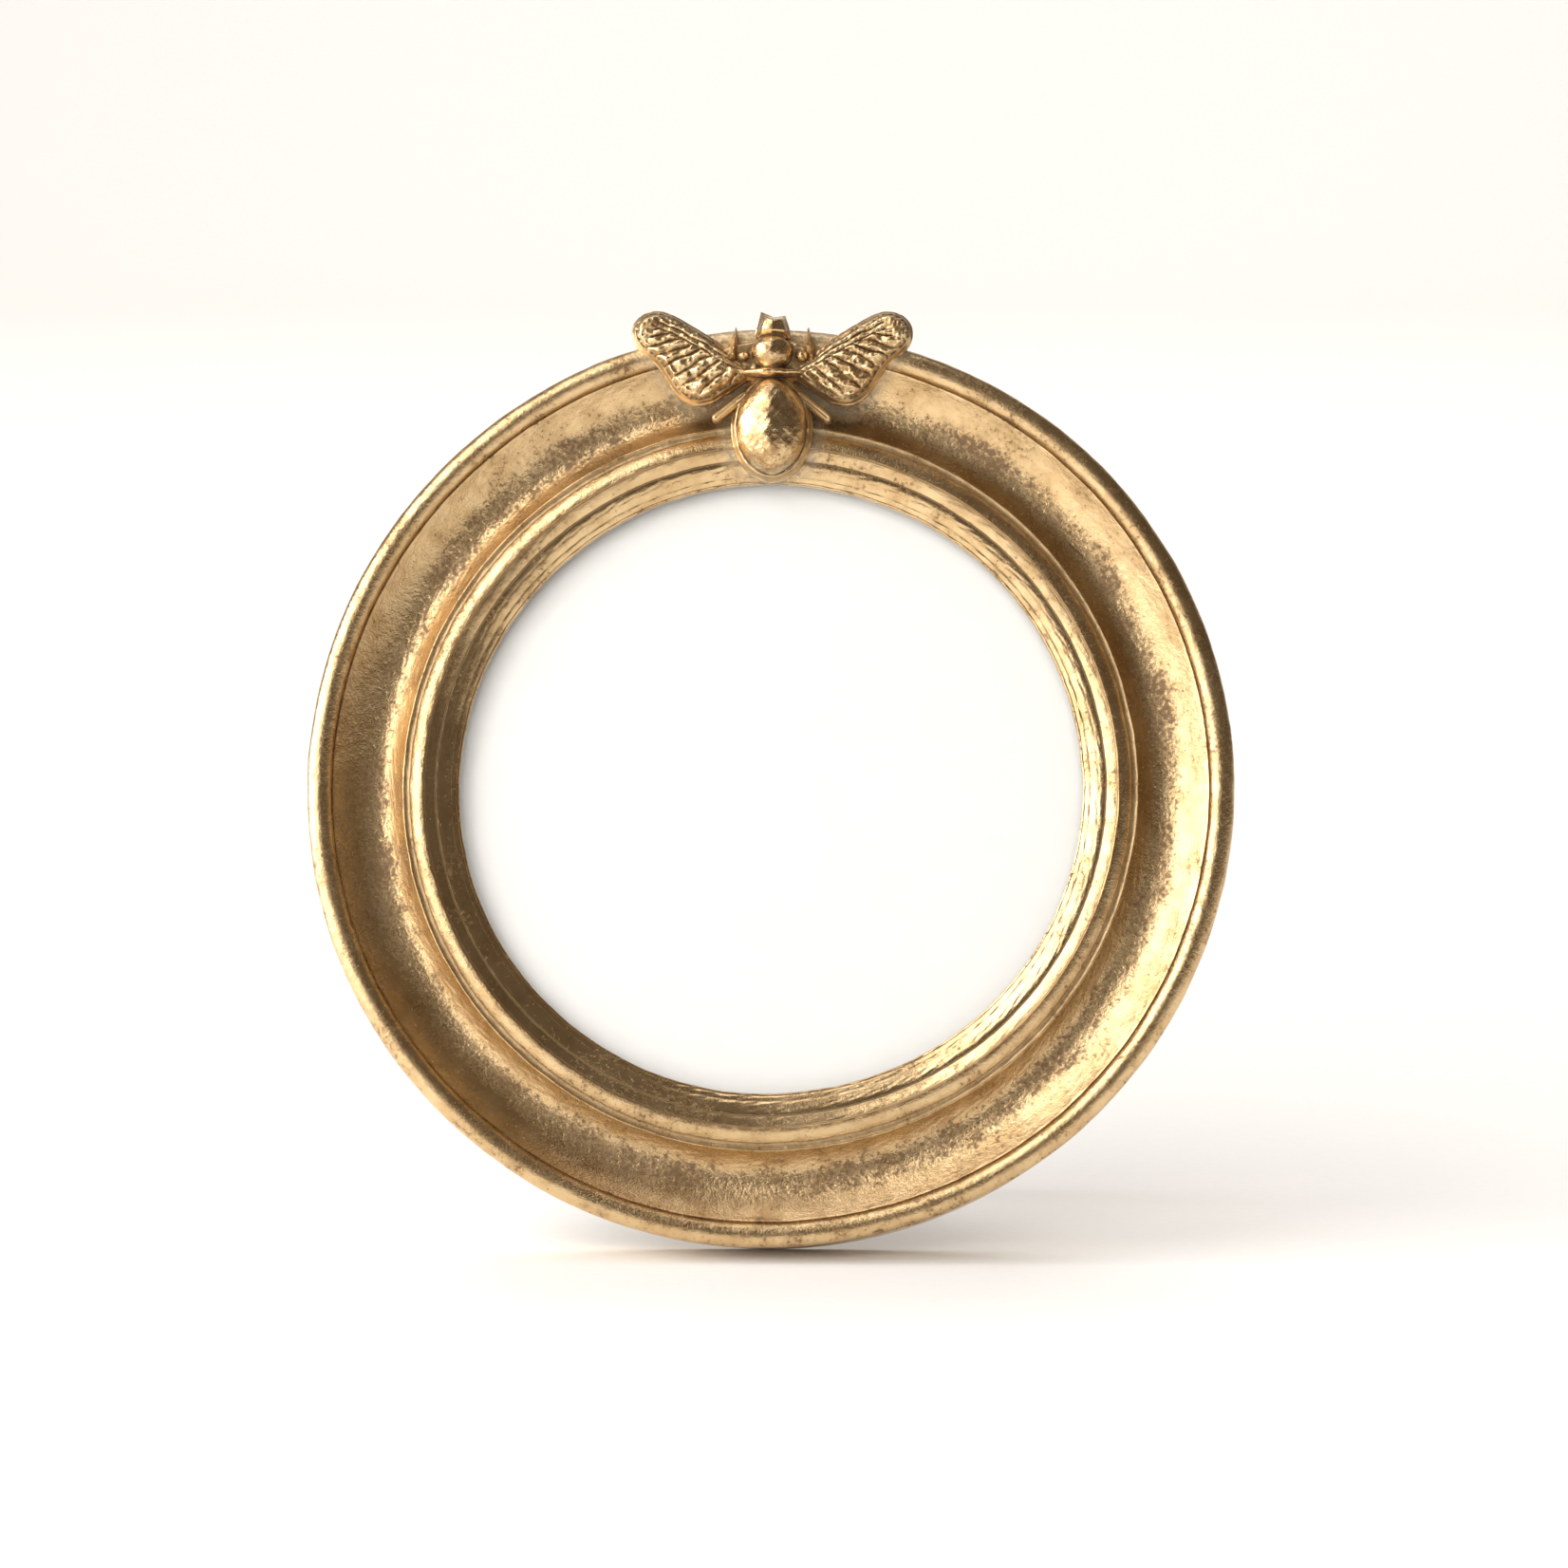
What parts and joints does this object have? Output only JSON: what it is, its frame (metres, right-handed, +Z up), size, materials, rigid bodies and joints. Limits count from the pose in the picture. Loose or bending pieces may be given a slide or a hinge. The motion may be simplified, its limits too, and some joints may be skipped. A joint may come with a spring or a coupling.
{
  "type": "round photo frame",
  "caption": "Small round gilt moulding frame with a bee in relief on its top rim, glazed, holding a blank card and standing on a hinged easel leg.",
  "frame": {"origin": "on the table under the middle of the standing frame's bounding box", "axes": "+Z up, -Y the way the picture faces, +X to the picture's right as a viewer sees it; the frame leans back 15 degrees about X"},
  "size_m": [0.1398, 0.0626, 0.1423],
  "materials": {
    "gilded_wood": "aged gold leaf over red bole, satin",
    "gilded_metal": "aged gilt, satin",
    "gilded_metal_polished": "burnished gilt",
    "brass": "satin",
    "steel": "satin",
    "glass": "clear",
    "card": "matte",
    "hardboard": "matte",
    "velvet": "velveteen",
    "velvet_board": "velveteen over hardboard",
    "rubber": "matte"
  },
  "bodies": {
    "frame": {"moulding_ring": "gilded_wood", "bee_backplate": "gilded_metal", "bee_body": "gilded_metal_polished", "bee_wing_left": "gilded_metal_polished", "bee_wing_right": "gilded_metal_polished", "bee_pin_left": "steel", "bee_pin_right": "steel", "glass": "glass", "picture_card": "card", "backing_board": "hardboard", "backing_cover": "velvet", "button_screw_upper_right": "steel", "button_screw_upper_left": "steel", "button_screw_lower_left": "steel", "button_screw_lower_right": "steel", "hinge_leaf_fixed": "brass", "hinge_pin": "steel", "rivet_board_left": "brass", "rivet_board_right": "brass", "hanger": "brass", "hanger_nail_left": "steel", "hanger_nail_right": "steel", "bumper_pad_left": "rubber", "bumper_pad_right": "rubber"},
    "easel": {"easel_leg": "velvet_board", "hinge_leaf_moving": "brass", "rivet_leg_left": "brass", "rivet_leg_right": "brass"},
    "button_upper_right": {"turn_button_upper_right": "brass"},
    "button_upper_left": {"turn_button_upper_left": "brass"},
    "button_lower_left": {"turn_button_lower_left": "brass"},
    "button_lower_right": {"turn_button_lower_right": "brass"}
  },
  "joints": [
    {"name": "easel_hinge", "type": "hinge", "parent": "frame", "child": "easel", "pos_m": [0, 0.00936, 0.09901], "axis": [1, 0, 0], "range_deg": [-26.5, 0]},
    {"name": "button_upper_right_turn", "type": "hinge", "parent": "frame", "child": "button_upper_right", "pos_m": [0.04172, 0.00982, 0.10688], "axis": [0, 0.9659, -0.2588], "continuous": true},
    {"name": "button_upper_left_turn", "type": "hinge", "parent": "frame", "child": "button_upper_left", "pos_m": [-0.04172, 0.00982, 0.10688], "axis": [0, 0.9659, -0.2588], "continuous": true},
    {"name": "button_lower_left_turn", "type": "hinge", "parent": "frame", "child": "button_lower_left", "pos_m": [-0.04172, -0.01178, 0.02629], "axis": [0, 0.9659, -0.2588], "continuous": true},
    {"name": "button_lower_right_turn", "type": "hinge", "parent": "frame", "child": "button_lower_right", "pos_m": [0.04172, -0.01178, 0.02629], "axis": [0, 0.9659, -0.2588], "continuous": true}
  ]
}
